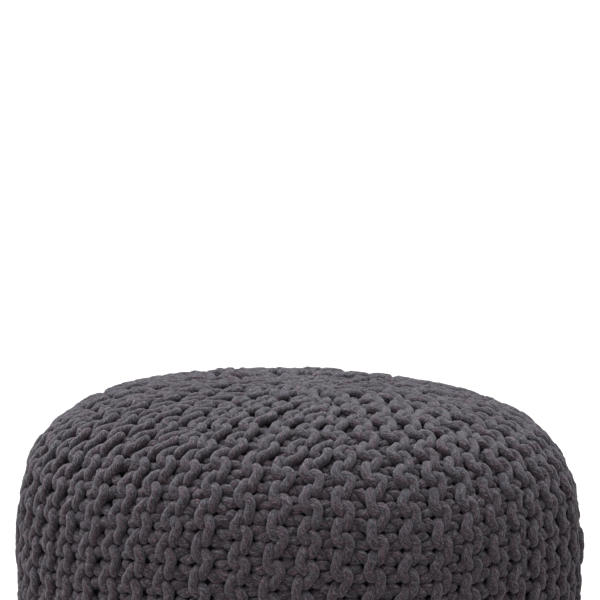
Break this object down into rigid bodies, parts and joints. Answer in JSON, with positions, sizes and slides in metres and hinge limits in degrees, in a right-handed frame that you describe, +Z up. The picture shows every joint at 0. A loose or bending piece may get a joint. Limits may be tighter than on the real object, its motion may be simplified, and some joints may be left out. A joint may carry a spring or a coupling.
{
  "type": "knitted pouf",
  "caption": "Round floor pouf and footstool, filled and drum shaped, with a cover knitted in thick rope yarn in upright garter ridges that meet at the middle of the top.",
  "frame": {"origin": "middle of the flat underside, on the floor", "axes": "+Z up through the middle of the top, where the ridges meet; -Y towards the viewer"},
  "size_m": [0.499, 0.4994, 0.3506],
  "materials": {
    "rope_yarn": "matt heathered charcoal cotton rope yarn, knitted"
  },
  "bodies": {
    "root": {"knitted_pouf": "rope_yarn"}
  },
  "joints": []
}
